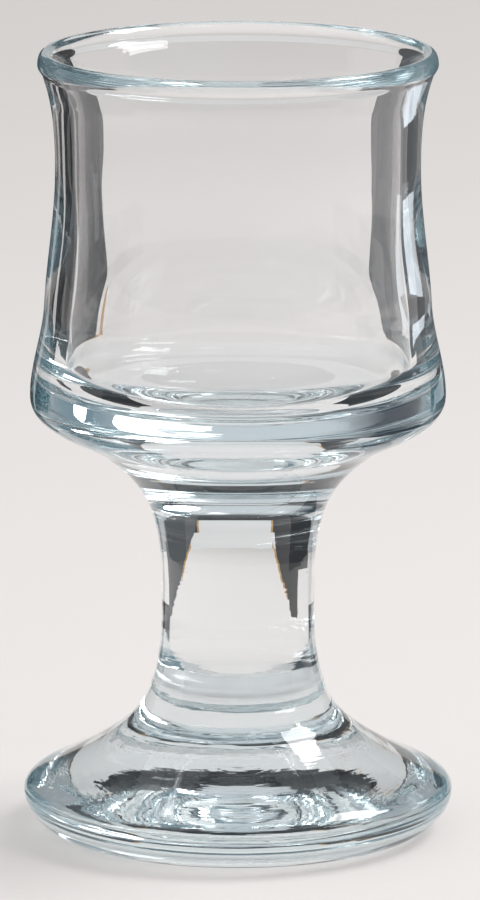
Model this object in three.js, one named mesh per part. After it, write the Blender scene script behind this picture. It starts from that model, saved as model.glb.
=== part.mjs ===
// Liqueur glass, hot worked in three parts that are fused end to end: bowl, stem and foot.
// Millimetres, +Z up. The origin is the centre of the foot's resting ring, level with the table.
// Every part is a solid of revolution, so each is one outline turned about the glass's axis.

import * as THREE from "three";

// Overall
const glassHeight = 90;
const stepsRound = 64;

// Bowl, outside
const bowlJointRadius = 9.95;
const bowlJointHeight = 37.4;
const bowlUndersideRadius = 16.15;
const bowlUndersideHeight = 44.4;
const shoulderRadius = 23.65;
const shoulderHeight = 50.55;
const bowlTaperRadius = 22.0;
const bowlTaperHeight = 61;
const bowlWaistRadius = 20.7;
const bowlWaistHeight = 76.5;

// Rim, drawn out and fire polished into a round bead
const rimNeckRadius = 22.1;
const rimNeckHeight = 87.35;
const rimBeadRadius = 22.65;
const rimBeadHeight = 88.5;
const rimCrestRadius = 21.75;
const rimInnerRadius = 20.7;
const rimInnerHeight = 89.1;

// Bowl, inside
const cavityCentreHeight = 48.3;
const cavityFloorRadius = 16;
const cavityFloorHeight = 50.5;
const cavityCornerRadius = 19.8;
const cavityCornerHeight = 55.3;
const cavityWaistRadius = 18.6;
const cavityNeckRadius = 19.3;
const cavityNeckHeight = 85;

// Stem, solid, narrowest a third of the way up the glass
const stemWaistRadius = 8.7;
const stemWaistHeight = 26.5;

// Foot
const footJointRadius = 9.15;
const footJointHeight = 20;
const ankleRadius = 10.35;
const ankleHeight = 15.9;
const footFlareRadius = 13.45;
const footFlareHeight = 12.05;
const footCrownRadius = 22.3;
const footCrownHeight = 7;
const footEdgeRadius = 24.5;
const footEdgeHeight = 4.7;
const footHeelRadius = 22.8;
const footHeelHeight = 1.5;
const restingRingOuterRadius = 19;
const restingRingInnerRadius = 16.8;
const undersideRiseRadius = 9;
const undersideRiseHeight = 1.5;
const undersideTopHeight = 1.9;

// Glass, clear with a faint steel blue cast
const glassColour = 0xdfe8ea;
const glassRoughness = 0.02;

// Outline headings, in degrees from straight outwards, turning upwards
const outwards = 0;
const upwards = 90;
const inwards = 180;
const downwards = 270;

// How finely a curve is divided: one step for each of these turns, and at least four
const turnPerStep = 12;
const fewestSteps = 4;

// One named place on an outline: its radius, its height and the way the outline heads there
function station(radius, height, heading) {
  return { radius, height, heading: THREE.MathUtils.degToRad(heading) };
}

// The least angle between two headings
function turnBetween(from, to) {
  const difference = to.heading - from.heading;
  return Math.abs(Math.atan2(Math.sin(difference), Math.cos(difference)));
}

// A smooth curve from one station to the next. Its handles have the length that would make
// an even turn a true arc, so the outline runs through every station without a kink.
function curveBetween(from, to) {
  const start = new THREE.Vector2(from.radius, from.height);
  const end = new THREE.Vector2(to.radius, to.height);
  const quarterTurn = turnBetween(from, to) / 4;
  const handle = start.distanceTo(end) / (3 * Math.cos(quarterTurn) ** 2);
  const leave = new THREE.Vector2(Math.cos(from.heading), Math.sin(from.heading));
  const arrive = new THREE.Vector2(Math.cos(to.heading), Math.sin(to.heading));
  return new THREE.CubicBezierCurve(
    start,
    start.clone().addScaledVector(leave, handle),
    end.clone().addScaledVector(arrive, -handle),
    end,
  );
}

// The points of the smooth outline through a list of stations
function smoothOutline(stations) {
  const points = [];
  for (let i = 1; i < stations.length; i += 1) {
    const turn = THREE.MathUtils.radToDeg(turnBetween(stations[i - 1], stations[i]));
    const steps = Math.max(fewestSteps, Math.ceil(turn / turnPerStep));
    const stretch = curveBetween(stations[i - 1], stations[i]).getPoints(steps);
    points.push(...(i === 1 ? stretch : stretch.slice(1)));
  }
  return points;
}

// An outline turned about the axis: it starts and ends on the axis, running up the outside
function turnedGlass(name, outline) {
  const geometry = new THREE.LatheGeometry(outline, stepsRound);
  geometry.rotateX(Math.PI / 2);
  const material = new THREE.MeshStandardMaterial({
    color: glassColour,
    roughness: glassRoughness,
    metalness: 0,
  });
  const mesh = new THREE.Mesh(geometry, material);
  mesh.name = name;
  return mesh;
}

function axisPoint(height) {
  return new THREE.Vector2(0, height);
}

// The two fused seams, met by the parts above and below them at the same slope
const bowlSeam = station(bowlJointRadius, bowlJointHeight, 70);
const footSeam = station(footJointRadius, footJointHeight, 101);

// Bowl: broad round shoulder, gently drawn-in waist and an out-turned beaded rim,
// round a cup with a rounded inside corner and a thick floor that dips to its centre
function bowl() {
  const outside = smoothOutline([
    bowlSeam,
    station(bowlUndersideRadius, bowlUndersideHeight, 33),
    station(shoulderRadius, shoulderHeight, upwards),
    station(bowlTaperRadius, bowlTaperHeight, 93),
    station(bowlWaistRadius, bowlWaistHeight, upwards),
    station(rimNeckRadius, rimNeckHeight, 70),
    station(rimBeadRadius, rimBeadHeight, upwards),
    station(rimCrestRadius, glassHeight, inwards),
  ]);
  const inside = smoothOutline([
    station(rimCrestRadius, glassHeight, inwards),
    station(rimInnerRadius, rimInnerHeight, 243),
    station(cavityNeckRadius, cavityNeckHeight, 256),
    station(cavityWaistRadius, bowlWaistHeight, downwards),
    station(cavityCornerRadius, cavityCornerHeight, 277),
    station(cavityFloorRadius, cavityFloorHeight, 190),
    station(0, cavityCentreHeight, inwards),
  ]);
  return turnedGlass("bowl", [axisPoint(bowlJointHeight), ...outside, ...inside.slice(1)]);
}

// Stem: a solid drawn stem that swells towards both fused ends
function stem() {
  const outside = smoothOutline([
    footSeam,
    station(stemWaistRadius, stemWaistHeight, upwards),
    bowlSeam,
  ]);
  return turnedGlass("stem", [axisPoint(footJointHeight), ...outside, axisPoint(bowlJointHeight)]);
}

// Foot: a solid disc that rises to the stem in one flare, with a thick round edge,
// a narrow flat resting ring and a shallow hollow underneath
function foot() {
  const underside = smoothOutline([
    station(0, undersideTopHeight, outwards),
    station(undersideRiseRadius, undersideRiseHeight, -6),
    station(restingRingInnerRadius, 0, -12),
  ]);
  const outside = smoothOutline([
    station(restingRingOuterRadius, 0, outwards),
    station(footHeelRadius, footHeelHeight, 42),
    station(footEdgeRadius, footEdgeHeight, upwards),
    station(footCrownRadius, footCrownHeight, 155),
    station(footFlareRadius, footFlareHeight, 141),
    station(ankleRadius, ankleHeight, 112),
    footSeam,
  ]);
  return turnedGlass("foot", [...underside, ...outside, axisPoint(footJointHeight)]);
}

const glass = new THREE.Group();
glass.name = "liqueur_glass";
glass.add(bowl(), stem(), foot());

export default glass;
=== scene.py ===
"""Liqueur glass: bowl, stem and foot of clear glass on a pale table, under plain soft studio light."""

import math

import bpy
from bpy.props import FloatProperty, FloatVectorProperty, IntProperty, PointerProperty
from bpy.types import NodeSocket, Operator, Panel, PropertyGroup
from mathutils import Matrix, Vector


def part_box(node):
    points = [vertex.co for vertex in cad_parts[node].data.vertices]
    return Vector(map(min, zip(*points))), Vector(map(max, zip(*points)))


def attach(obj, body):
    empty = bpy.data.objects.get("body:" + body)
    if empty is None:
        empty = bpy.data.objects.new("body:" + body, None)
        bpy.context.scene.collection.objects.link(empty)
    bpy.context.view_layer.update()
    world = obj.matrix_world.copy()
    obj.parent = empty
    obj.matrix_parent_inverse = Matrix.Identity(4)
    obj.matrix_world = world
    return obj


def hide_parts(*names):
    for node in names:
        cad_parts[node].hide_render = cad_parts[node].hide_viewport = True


bl_info = {
    "name": "Liqueur Glass",
    "version": (1, 0, 0),
    "blender": (4, 5, 0),
    "location": "3D View > Sidebar > Glass",
    "description": "Makes a stemmed liqueur glass and the small studio that it stands in",
    "category": "Object",
}

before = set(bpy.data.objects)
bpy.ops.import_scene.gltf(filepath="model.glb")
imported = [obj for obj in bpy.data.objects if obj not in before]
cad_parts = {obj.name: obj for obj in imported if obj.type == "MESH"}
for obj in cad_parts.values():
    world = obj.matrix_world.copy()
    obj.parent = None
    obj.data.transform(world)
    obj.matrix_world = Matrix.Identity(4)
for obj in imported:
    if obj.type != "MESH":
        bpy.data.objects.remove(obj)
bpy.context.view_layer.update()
MM = 0.001
BODY = "root"

# Outline headings, in degrees from straight outwards, turning upwards
OUTWARDS = 0
UPWARDS = 90
INWARDS = 180
DOWNWARDS = 270

# The two fused seams, met by the pieces above and below them at the same slope
BOWL_SEAM_RADIUS = 9.95 * MM
BOWL_SEAM_HEADING = 70
FOOT_SEAM_RADIUS = 9.15 * MM
FOOT_SEAM_HEADING = 101

# Bowl, outside
UNDERSIDE_RADIUS = 16.15 * MM
UNDERSIDE_HEIGHT = 44.4 * MM
SHOULDER_HEIGHT = 50.55 * MM
TAPER_RADIUS = 22.0 * MM
TAPER_HEIGHT = 61 * MM
WAIST_RADIUS = 20.7 * MM
WAIST_HEIGHT = 76.5 * MM

# Rim, drawn out and fire polished into a round bead
RIM_NECK_RADIUS = 22.1 * MM
RIM_NECK_HEIGHT = 87.35 * MM
RIM_BEAD_RADIUS = 22.65 * MM
RIM_BEAD_HEIGHT = 88.5 * MM
RIM_CREST_RADIUS = 21.75 * MM
RIM_INNER_RADIUS = 20.7 * MM
RIM_INNER_HEIGHT = 89.1 * MM

# Bowl, inside
CAVITY_NECK_RADIUS = 19.3 * MM
CAVITY_NECK_HEIGHT = 85 * MM
CAVITY_WAIST_RADIUS = 18.6 * MM
CAVITY_CORNER_RADIUS = 19.8 * MM
CAVITY_CORNER_HEIGHT = 55.3 * MM
CAVITY_FLOOR_RADIUS = 16 * MM
CAVITY_FLOOR_HEIGHT = 50.5 * MM
CAVITY_CENTRE_HEIGHT = 48.3 * MM

# Stem, solid, narrowest a third of the way up the glass
STEM_WAIST_RADIUS = 8.7 * MM
STEM_WAIST_HEIGHT = 26.5 * MM

# Foot, from the hollow underneath over the resting ring and the edge up to the stem
HOLLOW_TOP_HEIGHT = 1.9 * MM
HOLLOW_RISE_RADIUS = 9 * MM
HOLLOW_RISE_HEIGHT = 1.5 * MM
RING_INNER_RADIUS = 16.8 * MM
RING_OUTER_RADIUS = 19 * MM
HEEL_RADIUS = 22.8 * MM
HEEL_HEIGHT = 1.5 * MM
FOOT_EDGE_HEIGHT = 4.7 * MM
CROWN_RADIUS = 22.3 * MM
CROWN_HEIGHT = 7 * MM
FLARE_RADIUS = 13.45 * MM
FLARE_HEIGHT = 12.05 * MM
ANKLE_RADIUS = 10.35 * MM
ANKLE_HEIGHT = 15.9 * MM

# Points nearer to each other than this are one point
MERGE_DISTANCE = 0.001 * MM

# Faces that meet at less than this angle are shaded as one smooth surface
SMOOTH_ANGLE = math.radians(40)

# The flat ends at a fused seam stay this far apart in the middle, so that light meets them in turn
SEAM_SUNK = 0.05 * MM

# Marks the faces inside the glass where two gathers have run into one, of which nothing shows.
# They lie flat: the upright part of their normal is at least this long.
SEAM_MASK = "seam"
SEAM_FLATNESS = 0.99

# The layers of a hot worked surface: the depth that each follows, its waves per metre round the
# glass and along the outline, and its finer detail
SURFACE_LAYERS = (("Wave Depth", 110, 110, 0.0), ("Ripple Depth", 90, 900, 2.0))

# The photograph's frame, in pixels, and the column of the glass's axis in it
FRAME_WIDTH = 480
FRAME_HEIGHT = 900
AXIS_COLUMN = 238

# The camera's sensor in millimetres, and how far it sees in metres
SENSOR_WIDTH = 36
VIEW_DEPTH = 20

# The table, in metres. It lies a hair under the resting ring, because light would be lost between
# two faces in one plane. Its near colour turns into a darker far one between two places along Y:
# painted shade for the lamps' light falling off behind the glass.
TABLE_RADIUS = 6
TABLE_SIDES = 64
TABLE_GAP = 0.03 * MM
TABLE_ROUGHNESS = 0.9
TABLE_SPECULAR = 0.1
PAINTED_SHADE_START = -0.10
PAINTED_SHADE_FULL = 0.70

# Where the room's dim walls end and its pale ceiling starts, as elevations seen from the glass
WALLS_END = math.radians(38)
CEILING_START = math.radians(58)

# How far to each side of the axis, on a sphere of radius 1, the left wall turns into the right one
WALLS_BLEND = 0.3

# How often light may bounce in the glass and on the table, and how many clear faces it may cross.
# It takes many bounces to find its way out of thick glass.
GLASS_BOUNCES = 128
TABLE_BOUNCES = 4
CLEAR_BOUNCES = 64

# Tones of the studio's cards. Each card gives off its tone as a glow, painted light in place of being lit
# by the lamps.
PALE = (0.745, 0.735, 0.73)
GREY = (0.42, 0.43, 0.44)
DIM = (0.10, 0.105, 0.11)
DARK = (0.035, 0.037, 0.040)
AMBER = (0.50, 0.30, 0.13)
WINDOW = (0.85, 0.93, 1.00)

# How finely a card is bent, and how far a dark patch lies over the level of the resting ring
DEGREES_PER_CARD_STEP = 1.0
DARK_PATCH_HEIGHT = 0.1 * MM

# The flags' lower edges: azimuths in degrees with heights in metres. They curve, so that the stem
# bends the flags into two long dark wedges.
LEFT_EDGE = (
    (-29.5, 0),
    (-23.9, 0.0074),
    (-19.2, 0.021),
    (-17.9, 0.030),
    (-17.0, 0.038),
    (-16.2, 0.050),
    (-15.6, 0.070),
)
RIGHT_EDGE = (
    (18.0, 0.056),
    (19.0, 0.049),
    (20.0, 0.043),
    (21.0, 0.040),
    (24.0, 0.032),
    (27.5, 0.025),
    (34.0, 0.012),
)
NEAR_LEFT_EDGE = ((-37, 0), (-31, 0.002), (-28.8, 0.006))
NEAR_RIGHT_EDGE = ((34.0, 0.012), (44, 0.005), (49, 0), (52, 0))
SCREEN_EDGE = ((26, 0.030), (29, 0.018), (33, 0.006), (36, 0), (52, 0))
WINDOW_EDGE = ((27, 0.028), (29, 0.020), (33, 0.008), (48, 0.006))


def level(left, right, height=0.0):
    """A level lower edge from one azimuth to another."""
    return ((left, height), (right, height))


def moved(edge, azimuth, height):
    """A lower edge moved round the glass and up."""
    return tuple((place + azimuth, max(0, low + height)) for place, low in edge)


# What the glass mirrors and bends: name, tone, distance, lower edge, height of the upper edge
CARDS = (
    ("backdrop", PALE, 0.82, level(-38, 38), 0.30),
    ("left dark screen", DARK, 0.80, ((-52, 0), (-24, 0), (-23.9, 0.115), (-17, 0.115)), 0.42),
    ("right dark screen", DARK, 0.80, level(20.5, 38, 0.115), 0.42),
    ("left amber edge", AMBER, 0.80, level(-17, -15.9, 0.115), 0.30),
    ("right amber edge", AMBER, 0.80, level(19.4, 20.5, 0.115), 0.30),
    ("left grey wall", GREY, 0.80, level(-100, -52), 0.42),
    ("right grey wall", GREY, 0.80, level(38, 100), 0.42),
    ("screen over the backdrop", DARK, 0.81, level(-60, 60, 0.30), 0.95),
    ("left flag", DARK, 0.12, ((-34, 0), *LEFT_EDGE), 0.10),
    ("left flag's amber edge", AMBER, 0.121, moved(LEFT_EDGE[:5], 0.9, -0.001), 0.028),
    ("left low flag", DARK, 0.09, NEAR_LEFT_EDGE, 0.020),
    ("right flag", DIM, 0.09, RIGHT_EDGE, 0.15),
    ("right flag's amber edge", AMBER, 0.091, moved(RIGHT_EDGE[4:], -0.9, -0.001), 0.034),
    ("right low flag", DIM, 0.09, NEAR_RIGHT_EDGE, 0.036),
    ("right screen", DIM, 0.20, SCREEN_EDGE, 0.115),
    ("light from a window", WINDOW, 0.19, WINDOW_EDGE, 0.032),
)

# Dark patches on the table that show only in the glass: name, nearest and furthest radius, azimuths
DARK_PATCHES = (
    # Painted shadow: this patch lies where the glass's own shadow falls, to the left, away from the lamps
    ("near left cloth", 0.034, 0.104, -100, -57),
    ("left cloth", 0.100, 0.200, -38, -31),
    ("far left cloth", 0.200, 0.790, -54, -32),
    ("right cloth", 0.040, 0.104, 51, 100),
)

# The softboxes: name, azimuth, elevation and roll in degrees, width and height in metres, and power
# in watts. All hang at one distance and face a point on the glass's axis.
SOFTBOXES = (
    ("key softbox", 72, 53, 0, 1.04, 0.73, 30.6),
    ("strip light", 104, 25, -19, 1.73, 0.27, 11.4),
    ("overhead light", 141, 69, 0, 0.44, 0.44, 0.94),
)
SOFTBOX_DISTANCE = 2.0
SOFTBOX_AIM_HEIGHT = 40 * MM


def top_of(node):
    """The height of a CAD node's highest point."""
    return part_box(node)[1].z


def bottom_of(node):
    """The height of a CAD node's lowest point."""
    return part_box(node)[0].z


def reach_of(node):
    """How far a CAD node reaches out from the glass's axis."""
    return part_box(node)[1].x


class GlassShape(PropertyGroup):
    """Sizes of the glass. The defaults are those of the frame."""

    height: FloatProperty(
        name="Height",
        description="From the table to the rim",
        default=top_of("bowl"),
        unit="LENGTH",
    )
    bowl_seam: FloatProperty(
        name="Bowl Seam",
        description="Height of the fused seam under the bowl",
        default=bottom_of("bowl"),
        unit="LENGTH",
    )
    foot_seam: FloatProperty(
        name="Foot Seam",
        description="Height of the fused seam over the foot",
        default=top_of("foot"),
        unit="LENGTH",
    )
    foot_radius: FloatProperty(
        name="Foot Radius",
        description="Half the width of the foot",
        default=reach_of("foot"),
        unit="LENGTH",
    )
    bowl_radius: FloatProperty(
        name="Bowl Radius",
        description="Half the width of the shoulder",
        default=reach_of("bowl"),
        unit="LENGTH",
    )
    steps_round: IntProperty(name="Steps Round", description="Faces round the axis", default=256)
    curve_steps: IntProperty(
        name="Curve Steps",
        description="Faces along the outline from one station to the next",
        default=20,
    )


class GlassFinish(PropertyGroup):
    """Colours and surface of the glass."""

    thin_colour: FloatVectorProperty(
        name="Thin Colour",
        description="Colour where the wall is thin",
        default=(0.955, 0.957, 0.960),
        subtype="COLOR",
    )
    deep_colour: FloatVectorProperty(
        name="Deep Colour",
        description="Colour where the glass is thick",
        default=(0.95, 0.97, 0.98),
        subtype="COLOR",
    )
    refraction: FloatProperty(name="Refraction", description="Index of refraction", default=1.52)
    cast: FloatVectorProperty(
        name="Cast",
        description="Colour that light takes on inside the glass",
        default=(0.0, 0.55, 0.68),
        subtype="COLOR",
    )
    cast_density: FloatProperty(
        name="Cast Density",
        description="How soon light takes on the cast, per metre",
        default=2.7,
    )
    light_let_through: FloatProperty(
        name="Light Let Through",
        description="Share of the lamps' light that goes on through a surface to the table",
        default=0.5,
        subtype="FACTOR",
    )
    wave_depth: FloatProperty(
        name="Wave Depth",
        description="Depth of the slow waves left by hot working",
        default=0.00001,
        unit="LENGTH",
    )
    ripple_depth: FloatProperty(
        name="Ripple Depth",
        description="Depth of the fine ripples left by the tools",
        default=0.00002,
        unit="LENGTH",
    )


class StudioSettings(PropertyGroup):
    """Camera, table and light."""

    camera_distance: FloatProperty(
        name="Camera Distance",
        description="From the camera to the point that it looks at",
        default=1.0,
        unit="LENGTH",
    )
    camera_pitch: FloatProperty(
        name="Camera Pitch",
        description="How far the camera looks down",
        default=math.radians(11.568),
        subtype="ANGLE",
    )
    target_height: FloatProperty(
        name="Target Height",
        description="Height of the point that the camera looks at",
        default=44.043 * MM,
        unit="LENGTH",
    )
    pixels_per_metre: FloatProperty(
        name="Pixels per Metre",
        description="Scale of the picture at the glass's axis",
        default=8789,
    )
    table_near: FloatVectorProperty(
        name="Table, Near",
        description="Colour of the table in front of the glass",
        default=(0.74, 0.705, 0.69),
        subtype="COLOR",
    )
    # Painted shade: the far table is darker, for the lamps' light falling off behind the glass
    table_far_painted_shade: FloatVectorProperty(
        name="Table, Far",
        description="Colour of the table far behind the glass",
        default=(0.567, 0.543, 0.53),
        subtype="COLOR",
    )
    left_wall: FloatVectorProperty(
        name="Left Wall",
        description="Light of the room from its left wall",
        default=(0.045, 0.06, 0.075),
        subtype="COLOR",
    )
    right_wall: FloatVectorProperty(
        name="Right Wall",
        description="Light of the room from its right wall",
        default=(0.20, 0.28, 0.32),
        subtype="COLOR",
    )
    ceiling: FloatVectorProperty(
        name="Ceiling",
        description="Light of the room from its ceiling",
        default=(0.66, 0.68, 0.70),
        subtype="COLOR",
    )
    horizon: FloatVectorProperty(
        name="Horizon",
        description="What the camera sees beyond the table",
        default=(0.46, 0.447, 0.436),
        subtype="COLOR",
    )
    soft_light: FloatVectorProperty(
        name="Soft Light",
        description="Even light from all round on the table",
        default=(0.66, 0.66, 0.66),
        subtype="COLOR",
    )
    lamp_level: FloatProperty(
        name="Lamp Level",
        description="Strength of all softboxes",
        default=0.8,
    )


def deselect_all():
    if bpy.context.mode != "OBJECT":
        bpy.ops.object.mode_set(mode="OBJECT")
    bpy.ops.object.select_all(action="DESELECT")


def station(radius, height, heading, leaving=None):
    """One place on an outline, and the headings with which the outline arrives and leaves.

    The two differ only at a corner. The radius and the height are in metres, and the headings in degrees.
    """
    arriving = math.radians(heading)
    return Vector((radius, 0, height)), arriving, arriving if leaving is None else math.radians(leaving)


def handle_between(start, end):
    """The handle length from one station to the next at which an even turn is a true arc."""
    difference = end[1] - start[2]
    turn = abs(math.atan2(math.sin(difference), math.cos(difference)))
    return (end[0] - start[0]).length / (3 * math.cos(turn / 4) ** 2)


def direction(heading):
    """A heading as a vector in the XZ plane."""
    return Vector((math.cos(heading), 0, math.sin(heading)))


def draw_outline(name, stations, steps):
    """A smooth curve through the stations, standing in the XZ plane, as a mesh of edges."""
    deselect_all()
    bpy.ops.curve.primitive_bezier_curve_add()
    outline = bpy.context.object
    outline.name = outline.data.name = name
    spline = outline.data.splines[0]
    spline.resolution_u = steps
    spline.bezier_points.add(len(stations) - len(spline.bezier_points))
    for i, (point, (place, arriving, leaving)) in enumerate(zip(spline.bezier_points, stations)):
        before = handle_between(stations[i - 1], stations[i]) if i > 0 else 0
        after = handle_between(stations[i], stations[i + 1]) if i + 1 < len(stations) else 0
        point.handle_left_type = point.handle_right_type = "FREE"
        point.co = place
        point.handle_left = place - direction(arriving) * before
        point.handle_right = place + direction(leaving) * after
    bpy.ops.object.convert(target="MESH")
    return bpy.context.object


def turn_outline(outline, steps, angle=2 * math.pi):
    """Turns an outline about the glass's axis into a surface."""
    turn = outline.modifiers.new("turn", "SCREW")
    turn.axis = "Z"
    turn.angle = angle
    turn.steps = turn.render_steps = steps
    turn.use_merge_vertices = True
    turn.merge_threshold = MERGE_DISTANCE
    bpy.ops.object.modifier_apply(modifier=turn.name)
    bpy.ops.object.mode_set(mode="EDIT")
    bpy.ops.mesh.select_all(action="SELECT")
    bpy.ops.mesh.remove_doubles(threshold=MERGE_DISTANCE)
    bpy.ops.object.mode_set(mode="OBJECT")


def close_seams(piece, sunk):
    """Closes the round openings at the fused seams with fans, their middles sunk by a hair."""
    bpy.ops.object.mode_set(mode="EDIT")
    bpy.ops.mesh.select_all(action="SELECT")
    bpy.ops.mesh.fill_holes(sides=0)
    bpy.ops.mesh.select_all(action="SELECT")
    bpy.ops.mesh.normals_make_consistent(inside=False)
    bpy.ops.mesh.select_all(action="DESELECT")
    bpy.ops.object.mode_set(mode="OBJECT")
    most_sides_of_a_turned_face = 4
    for face in piece.data.polygons:
        face.select = len(face.vertices) > most_sides_of_a_turned_face
    bpy.ops.object.mode_set(mode="EDIT")
    bpy.ops.mesh.select_mode(type="FACE")
    bpy.ops.mesh.poke(offset=-sunk)
    bpy.ops.object.mode_set(mode="OBJECT")


def mark_seams(piece, heights):
    """Marks the flat faces of a piece at the heights of its fused seams."""
    marks = piece.data.attributes.new(SEAM_MASK, "FLOAT", "FACE")
    for face, mark in zip(piece.data.polygons, marks.data):
        on_seam = any(abs(face.center.z - height) < SEAM_SUNK for height in heights)
        if on_seam and abs(face.normal.z) > SEAM_FLATNESS:
            mark.value = 1


def turned_glass(name, stations, node, material, seam_heights, sunk):
    """A closed piece of glass turned from its outline, which stands for one CAD node."""
    shape = bpy.context.scene.liqueur_shape
    piece = draw_outline(name, stations, shape.curve_steps)
    turn_outline(piece, shape.steps_round)
    close_seams(piece, sunk)
    bpy.ops.object.shade_smooth_by_angle(angle=SMOOTH_ANGLE)
    piece.data.materials.append(material)
    mark_seams(piece, seam_heights)
    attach(piece, BODY)
    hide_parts(node)


def opaque(colour):
    """A colour with its alpha."""
    return (*colour, 1)


def feed(tree, socket, value):
    """Gives a socket the output of another node, or a plain value."""
    if isinstance(value, NodeSocket):
        tree.links.new(value, socket)
    else:
        socket.default_value = value


def math_node(tree, operation, first, second=0.0):
    """The result of a Math node."""
    node = tree.nodes.new("ShaderNodeMath")
    node.operation = operation
    feed(tree, node.inputs[0], first)
    feed(tree, node.inputs[1], second)
    return node.outputs[0]


def ramp_node(tree, value, start, end, interpolation="SMOOTHSTEP"):
    """Climbs from 0 to 1 while a value goes from the start to the end."""
    node = tree.nodes.new("ShaderNodeMapRange")
    node.interpolation_type = interpolation
    feed(tree, node.inputs["Value"], value)
    feed(tree, node.inputs["From Min"], start)
    feed(tree, node.inputs["From Max"], end)
    return node.outputs["Result"]


def mix_node(tree, share, first, second):
    """Two colours mixed, by the share of the second one."""
    node = tree.nodes.new("ShaderNodeMix")
    node.data_type = "RGBA"
    feed(tree, node.inputs["Factor"], share)
    feed(tree, node.inputs["A"], first)
    feed(tree, node.inputs["B"], second)
    return node.outputs["Result"]


def split_place(tree, coordinate="Object"):
    """A texture coordinate, and its X, Y and Z by name."""
    place = tree.nodes.new("ShaderNodeTexCoord").outputs[coordinate]
    split = tree.nodes.new("ShaderNodeSeparateXYZ")
    tree.links.new(place, split.inputs[0])
    return place, split.outputs


def new_group(name, inputs, outputs):
    """An empty node group, its inputs to read from and its outputs to write to.

    Each input is a (name, socket type, default), and each output a (name, socket type).
    """
    group = bpy.data.node_groups.new(name, "ShaderNodeTree")
    for label, kind, default in inputs:
        socket = group.interface.new_socket(label, in_out="INPUT", socket_type=kind)
        socket.default_value = default
    for label, kind in outputs:
        group.interface.new_socket(label, in_out="OUTPUT", socket_type=kind)
    return group, group.nodes.new("NodeGroupInput").outputs, group.nodes.new("NodeGroupOutput").inputs


def place_group(tree, group, values):
    """The first output of a node group that is placed in a material with its own values."""
    node = tree.nodes.new("ShaderNodeGroup")
    node.node_tree = group
    for label, value in values.items():
        node.inputs[label].default_value = value
    return node.outputs[0]


def depth_tint_group():
    """Deepens the colour of the glass below one height and above another, where it is thick.

    The colour starts to deepen at each start, and it is at its deepest at the end.
    """
    name = "depth tint"
    if name in bpy.data.node_groups:
        return bpy.data.node_groups[name]
    colours = [(label, "NodeSocketColor", (1, 1, 1, 1)) for label in ("Thin Colour", "Deep Colour")]
    labels = ("Low Start", "Low End", "High Start", "High End")
    heights = [(label, "NodeSocketFloat", 0.0) for label in labels]
    group, given, out = new_group(name, colours + heights, [("Colour", "NodeSocketColor")])
    height = split_place(group)[1]["Z"]
    low = ramp_node(group, height, given["Low Start"], given["Low End"])
    high = ramp_node(group, height, given["High Start"], given["High End"])
    thick = math_node(group, "MAXIMUM", low, high)
    feed(group, out["Colour"], mix_node(group, thick, given["Thin Colour"], given["Deep Colour"]))
    return group


def hot_worked_group():
    """The surface that hot working leaves: slow waves, and ripples that run round the turning glass.

    Along says how the outline is followed: the radius plus this many times the height.
    """
    name = "hot worked surface"
    if name in bpy.data.node_groups:
        return bpy.data.node_groups[name]
    labels = [("Wave Depth", 0.0), ("Ripple Depth", 0.0), ("Along", 1.0)]
    inputs = [(label, "NodeSocketFloat", default) for label, default in labels]
    group, given, out = new_group(name, inputs, [("Height", "NodeSocketFloat")])
    place, split = split_place(group)
    across = math_node(group, "MULTIPLY", split["X"], split["X"])
    beyond = math_node(group, "MULTIPLY", split["Y"], split["Y"])
    radius = math_node(group, "SQRT", math_node(group, "ADD", across, beyond))
    climb = math_node(group, "MULTIPLY", split["Z"], given["Along"])
    along = math_node(group, "ADD", radius, climb)
    heights = []
    for depth, around_per_metre, along_per_metre, detail in SURFACE_LAYERS:
        noise = group.nodes.new("ShaderNodeTexNoise")
        noise.noise_dimensions = "4D"
        noise.inputs["Scale"].default_value = around_per_metre
        noise.inputs["Detail"].default_value = detail
        feed(group, noise.inputs["Vector"], place)
        stretch = along_per_metre / around_per_metre
        feed(group, noise.inputs["W"], math_node(group, "MULTIPLY", along, stretch))
        heights.append(math_node(group, "MULTIPLY", noise.outputs["Fac"], given[depth]))
    feed(group, out["Height"], math_node(group, "ADD", *heights))
    return group


def new_material(name):
    """A new material, its node tree and its Principled shader."""
    material = bpy.data.materials.new(name)
    material.use_nodes = True
    return material, material.node_tree, material.node_tree.nodes["Principled BSDF"]


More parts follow.
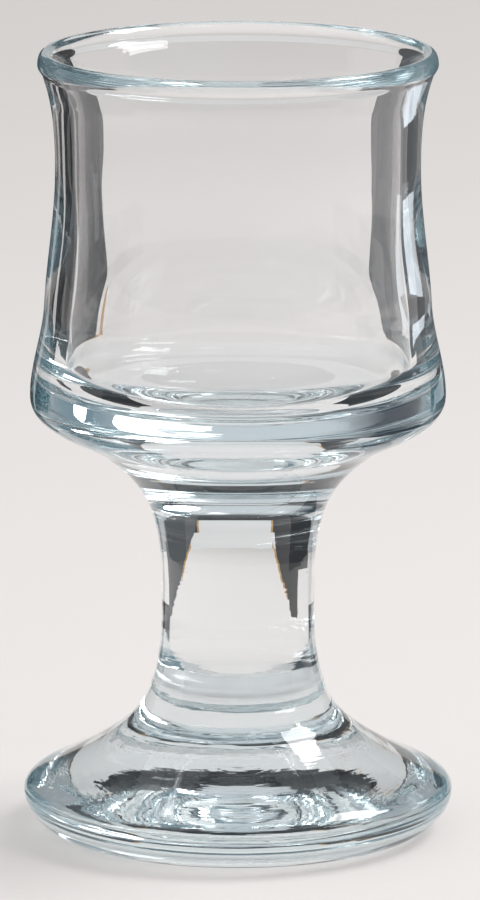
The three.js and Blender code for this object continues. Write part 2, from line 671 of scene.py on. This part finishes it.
def glass_material(name, thick_below, thick_above, ripple, along):
    """Clear glass, its colour deeper below one pair of heights and above another.

    Ripple is this piece's share of the ripples' depth, and along is how its outline is followed.
    """
    finish = bpy.context.scene.liqueur_finish
    material, tree, shader = new_material(name)
    shader.inputs["Metallic"].default_value = 0
    shader.inputs["Roughness"].default_value = 0
    shader.inputs["Transmission Weight"].default_value = 1
    shader.inputs["IOR"].default_value = finish.refraction

    cast = tree.nodes.new("ShaderNodeVolumeAbsorption")
    cast.inputs["Color"].default_value = opaque(finish.cast)
    cast.inputs["Density"].default_value = finish.cast_density
    feed(tree, tree.nodes["Material Output"].inputs["Volume"], cast.outputs["Volume"])

    tint = {
        "Thin Colour": opaque(finish.thin_colour),
        "Deep Colour": opaque(finish.deep_colour),
        "Low Start": thick_below[0],
        "Low End": thick_below[1],
        "High Start": thick_above[0],
        "High End": thick_above[1],
    }
    feed(tree, shader.inputs["Base Color"], place_group(tree, depth_tint_group(), tint))

    seam = tree.nodes.new("ShaderNodeAttribute")
    seam.attribute_name = SEAM_MASK
    shadow_ray = tree.nodes.new("ShaderNodeLightPath").outputs["Is Shadow Ray"]
    let_through = math_node(tree, "MULTIPLY", shadow_ray, finish.light_let_through)
    see_through = math_node(tree, "MAXIMUM", seam.outputs["Fac"], let_through)
    feed(tree, shader.inputs["Alpha"], math_node(tree, "SUBTRACT", 1, see_through))

    waves = {
        "Wave Depth": finish.wave_depth,
        "Ripple Depth": finish.ripple_depth * ripple,
        "Along": along,
    }
    bump = tree.nodes.new("ShaderNodeBump")
    bump.inputs["Distance"].default_value = 1
    feed(tree, bump.inputs["Height"], place_group(tree, hot_worked_group(), waves))
    feed(tree, shader.inputs["Normal"], bump.outputs["Normal"])
    return material


def bowl_seam_station(shape):
    return station(BOWL_SEAM_RADIUS, shape.bowl_seam, BOWL_SEAM_HEADING)


def foot_seam_station(shape):
    return station(FOOT_SEAM_RADIUS, shape.foot_seam, FOOT_SEAM_HEADING)


class LIQUEUR_OT_bowl(Operator):
    """Adds the bowl: round shoulder, drawn-in waist, beaded rim and a cup with a thick floor"""

    bl_idname = "liqueur.bowl"
    bl_label = "Add Bowl"

    def execute(self, context):
        shape = context.scene.liqueur_shape
        outside = [
            bowl_seam_station(shape),
            station(UNDERSIDE_RADIUS, UNDERSIDE_HEIGHT, 33),
            station(shape.bowl_radius, SHOULDER_HEIGHT, UPWARDS),
            station(TAPER_RADIUS, TAPER_HEIGHT, 93),
            station(WAIST_RADIUS, WAIST_HEIGHT, UPWARDS),
            station(RIM_NECK_RADIUS, RIM_NECK_HEIGHT, 70),
            station(RIM_BEAD_RADIUS, RIM_BEAD_HEIGHT, UPWARDS),
            station(RIM_CREST_RADIUS, shape.height, INWARDS),
        ]
        inside = [
            station(RIM_INNER_RADIUS, RIM_INNER_HEIGHT, 243),
            station(CAVITY_NECK_RADIUS, CAVITY_NECK_HEIGHT, 256),
            station(CAVITY_WAIST_RADIUS, WAIST_HEIGHT, DOWNWARDS),
            station(CAVITY_CORNER_RADIUS, CAVITY_CORNER_HEIGHT, 277),
            station(CAVITY_FLOOR_RADIUS, CAVITY_FLOOR_HEIGHT, 190),
            station(0, CAVITY_CENTRE_HEIGHT, INWARDS),
        ]
        glass = glass_material(
            "bowl glass",
            thick_below=(56 * MM, 50 * MM),
            thick_above=(89 * MM, 91 * MM),
            ripple=0.15,
            along=1,
        )
        turned_glass("bowl_glass", outside + inside, "bowl", glass, [shape.bowl_seam], SEAM_SUNK)
        return {"FINISHED"}


class LIQUEUR_OT_stem(Operator):
    """Adds the stem: solid glass, narrowest a third of the way up, swelling towards both seams"""

    bl_idname = "liqueur.stem"
    bl_label = "Add Stem"

    def execute(self, context):
        shape = context.scene.liqueur_shape
        outline = [
            foot_seam_station(shape),
            station(STEM_WAIST_RADIUS, STEM_WAIST_HEIGHT, UPWARDS),
            bowl_seam_station(shape),
        ]
        glass = glass_material(
            "stem glass",
            thick_below=(24 * MM, 14 * MM),
            thick_above=(34 * MM, 46 * MM),
            ripple=1,
            along=-1,
        )
        turned_glass("stem_glass", outline, "stem", glass, [shape.bowl_seam, shape.foot_seam], 0)
        return {"FINISHED"}


class LIQUEUR_OT_foot(Operator):
    """Adds the foot: thick solid disc, one flare up to the stem, a round edge and a flat resting ring"""

    bl_idname = "liqueur.foot"
    bl_label = "Add Foot"

    def execute(self, context):
        shape = context.scene.liqueur_shape
        outline = [
            station(0, HOLLOW_TOP_HEIGHT, OUTWARDS),
            station(HOLLOW_RISE_RADIUS, HOLLOW_RISE_HEIGHT, -6),
            station(RING_INNER_RADIUS, 0, -12, leaving=OUTWARDS),
            station(RING_OUTER_RADIUS, 0, OUTWARDS),
            station(HEEL_RADIUS, HEEL_HEIGHT, 42),
            station(shape.foot_radius, FOOT_EDGE_HEIGHT, UPWARDS),
            station(CROWN_RADIUS, CROWN_HEIGHT, 155),
            station(FLARE_RADIUS, FLARE_HEIGHT, 141),
            station(ANKLE_RADIUS, ANKLE_HEIGHT, 112),
            foot_seam_station(shape),
        ]
        glass = glass_material(
            "foot glass",
            thick_below=(16 * MM, 6 * MM),
            thick_above=(40 * MM, 50 * MM),
            ripple=1.8,
            along=-1,
        )
        turned_glass("foot_glass", outline, "foot", glass, [shape.foot_seam], SEAM_SUNK)
        return {"FINISHED"}


def card_material(name, colour):
    """A card's tone, given off as a painted glow that the glass shows. Light that has come from the table
    goes on through the card.
    """
    material = bpy.data.materials.new(name)
    material.use_nodes = True
    tree = material.node_tree
    tree.nodes.clear()
    glow = tree.nodes.new("ShaderNodeEmission")
    glow.inputs["Color"].default_value = opaque(colour)
    clear = tree.nodes.new("ShaderNodeBsdfTransparent")
    mix = tree.nodes.new("ShaderNodeMixShader")
    feed(tree, mix.inputs["Fac"], tree.nodes.new("ShaderNodeLightPath").outputs["Diffuse Depth"])
    feed(tree, mix.inputs[1], glow.outputs[0])
    feed(tree, mix.inputs[2], clear.outputs[0])
    feed(tree, tree.nodes.new("ShaderNodeOutputMaterial").inputs["Surface"], mix.outputs[0])
    material.cycles.emission_sampling = "NONE"
    return material


def show_in_glass_only(card, colour):
    """Finishes a card or a dark patch, which the glass shows and the camera and the table don't."""
    card.data.materials.append(card_material(card.name, colour))
    card.visible_camera = False
    card.visible_diffuse = False
    card.visible_shadow = False


def sweep_round(name, line, left, right):
    """A sheet swept by a line from one azimuth to another: 0 is behind the glass, 90 on its right."""
    sheet = draw_outline(name, line, 1)
    sheet.rotation_euler.z = math.radians(90 - right)
    bpy.ops.object.transform_apply(location=True, rotation=True, scale=True)
    steps = max(2, math.ceil((right - left) / DEGREES_PER_CARD_STEP))
    turn_outline(sheet, steps, math.radians(right - left))
    return sheet


def height_along(edge, azimuth):
    """The height of a lower edge at an azimuth."""
    for (start, low), (end, high) in zip(edge, edge[1:]):
        if azimuth <= end:
            return low + (high - low) * max(0, azimuth - start) / (end - start)
    return edge[-1][1]


def add_card(name, colour, distance, lower_edge, top):
    """A card that stands bent round the glass, cut off along its lower edge."""
    upright = [station(distance, 0, UPWARDS), station(distance, top, UPWARDS)]
    card = sweep_round(name, upright, lower_edge[0][0], lower_edge[-1][0])
    for vertex in card.data.vertices:
        if vertex.co.z < top / 2:
            azimuth = math.degrees(math.atan2(vertex.co.x, vertex.co.y))
            vertex.co.z = height_along(lower_edge, azimuth)
    show_in_glass_only(card, colour)


def add_dark_patch(name, near, far, left, right):
    """A dark patch flat on the table, from one radius to another, which only the glass shows."""
    across = [station(near, DARK_PATCH_HEIGHT, OUTWARDS), station(far, DARK_PATCH_HEIGHT, OUTWARDS)]
    show_in_glass_only(sweep_round(name, across, left, right), DARK)


def table_material():
    """The table's colour, with painted shade that darkens it with the distance behind the glass, for the
    lamps' light falling off.
    """
    studio = bpy.context.scene.liqueur_studio
    material, tree, shader = new_material("table")
    shader.inputs["Roughness"].default_value = TABLE_ROUGHNESS
    shader.inputs["Specular IOR Level"].default_value = TABLE_SPECULAR
    behind = split_place(tree)[1]["Y"]
    # Painted shade, growing with the distance behind the glass
    share = ramp_node(tree, behind, PAINTED_SHADE_START, PAINTED_SHADE_FULL)
    colour = mix_node(tree, share, opaque(studio.table_near), opaque(studio.table_far_painted_shade))
    feed(tree, shader.inputs["Base Color"], colour)
    return material


def add_table():
    deselect_all()
    bpy.ops.mesh.primitive_circle_add(
        vertices=TABLE_SIDES, radius=TABLE_RADIUS, fill_type="NGON", location=(0, 0, -TABLE_GAP)
    )
    table = bpy.context.object
    table.name = "table"
    table.data.materials.append(table_material())


def add_room():
    """What lies beyond the table and the cards.

    The glass shows a room with dim walls and a pale ceiling. The camera sees a pale horizon, and the
    table gets an even light.
    """
    studio = bpy.context.scene.liqueur_studio
    world = bpy.data.worlds.new("room")
    bpy.context.scene.world = world
    world.use_nodes = True
    tree = world.node_tree
    tree.nodes.clear()
    towards = split_place(tree, "Generated")[1]
    rightness = ramp_node(tree, towards["X"], -WALLS_BLEND, WALLS_BLEND, "LINEAR")
    walls = mix_node(tree, rightness, opaque(studio.left_wall), opaque(studio.right_wall))
    upness = ramp_node(tree, towards["Z"], math.sin(WALLS_END), math.sin(CEILING_START))
    room = mix_node(tree, upness, walls, opaque(studio.ceiling))
    path = tree.nodes.new("ShaderNodeLightPath").outputs
    light = mix_node(tree, path["Diffuse Depth"], room, opaque(studio.soft_light))
    seen = mix_node(tree, path["Is Camera Ray"], light, opaque(studio.horizon))
    glow = tree.nodes.new("ShaderNodeBackground")
    feed(tree, glow.inputs["Color"], seen)
    feed(tree, tree.nodes.new("ShaderNodeOutputWorld").inputs["Surface"], glow.outputs[0])


def add_softbox(name, azimuth, elevation, roll, width, height, power):
    """A softbox that faces the glass from a place over the table."""
    around, above = math.radians(azimuth), math.radians(elevation)
    level_part = math.cos(above)
    towards = Vector((math.sin(around) * level_part, math.cos(around) * level_part, math.sin(above)))
    deselect_all()
    target = Vector((0, 0, SOFTBOX_AIM_HEIGHT))
    bpy.ops.object.light_add(type="AREA", location=target + towards * SOFTBOX_DISTANCE)
    lamp = bpy.context.object
    lamp.name = lamp.data.name = name
    facing = towards.to_track_quat("Z", "Y").to_matrix()
    lamp.rotation_euler = (facing @ Matrix.Rotation(math.radians(roll), 3, "Z")).to_euler()
    lamp.data.shape = "RECTANGLE"
    lamp.data.size = width
    lamp.data.size_y = height
    lamp.data.energy = power * bpy.context.scene.liqueur_studio.lamp_level


def add_camera():
    """A camera at the photograph's viewing angle, shifted to put the glass's axis in its column."""
    studio = bpy.context.scene.liqueur_studio
    pitch, distance = studio.camera_pitch, studio.camera_distance
    target = Vector((0, 0, studio.target_height))
    place = target + Vector((0, -math.cos(pitch), math.sin(pitch))) * distance
    deselect_all()
    bpy.ops.object.camera_add(location=place, rotation=(math.radians(90) - pitch, 0, 0))
    camera = bpy.context.object
    camera.name = "camera"
    camera.data.sensor_width = SENSOR_WIDTH
    focal_pixels = studio.pixels_per_metre * distance
    camera.data.lens = focal_pixels / FRAME_HEIGHT * SENSOR_WIDTH
    camera.data.shift_x = (FRAME_WIDTH / 2 - AXIS_COLUMN) / FRAME_HEIGHT
    camera.data.clip_end = VIEW_DEPTH
    bpy.context.scene.camera = camera


class LIQUEUR_OT_studio(Operator):
    """Adds the camera, the pale table, the room, the softboxes and what shows only in the glass"""

    bl_idname = "liqueur.studio"
    bl_label = "Add Studio"

    def execute(self, context):
        add_camera()
        add_table()
        add_room()
        for softbox in SOFTBOXES:
            add_softbox(*softbox)
        for card in CARDS:
            add_card(*card)
        for patch in DARK_PATCHES:
            add_dark_patch(*patch)
        return {"FINISHED"}


class LIQUEUR_PT_panel(Panel):
    """Lists the pieces of the glass and the studio"""

    bl_label = "Liqueur Glass"
    bl_space_type = "VIEW_3D"
    bl_region_type = "UI"
    bl_category = "Glass"

    def draw(self, context):
        scene = context.scene
        for operator in PIECES:
            self.layout.operator(operator.bl_idname)
        for group in (scene.liqueur_shape, scene.liqueur_finish, scene.liqueur_studio):
            column = self.layout.column()
            for key in group.bl_rna.properties.keys():
                if key not in ("rna_type", "name"):
                    column.prop(group, key)


PIECES = (LIQUEUR_OT_bowl, LIQUEUR_OT_stem, LIQUEUR_OT_foot, LIQUEUR_OT_studio)
CLASSES = (GlassShape, GlassFinish, StudioSettings, *PIECES, LIQUEUR_PT_panel)


def register():
    for item in CLASSES:
        bpy.utils.register_class(item)
    bpy.types.Scene.liqueur_shape = PointerProperty(type=GlassShape)
    bpy.types.Scene.liqueur_finish = PointerProperty(type=GlassFinish)
    bpy.types.Scene.liqueur_studio = PointerProperty(type=StudioSettings)


def unregister():
    del bpy.types.Scene.liqueur_studio
    del bpy.types.Scene.liqueur_finish
    del bpy.types.Scene.liqueur_shape
    for item in reversed(CLASSES):
        bpy.utils.unregister_class(item)


def set_render():
    """Plain colours, and enough bounces for light to find its way through thick glass."""
    scene = bpy.context.scene
    scene.view_settings.view_transform = "Standard"
    scene.cycles.max_bounces = GLASS_BOUNCES
    scene.cycles.transmission_bounces = GLASS_BOUNCES
    scene.cycles.glossy_bounces = GLASS_BOUNCES
    scene.cycles.diffuse_bounces = TABLE_BOUNCES
    scene.cycles.transparent_max_bounces = CLEAR_BOUNCES
    scene.cycles.use_denoising = True


def main():
    register()
    set_render()
    bpy.ops.liqueur.bowl()
    bpy.ops.liqueur.stem()
    bpy.ops.liqueur.foot()
    bpy.ops.liqueur.studio()


if __name__ == "__main__":
    main()
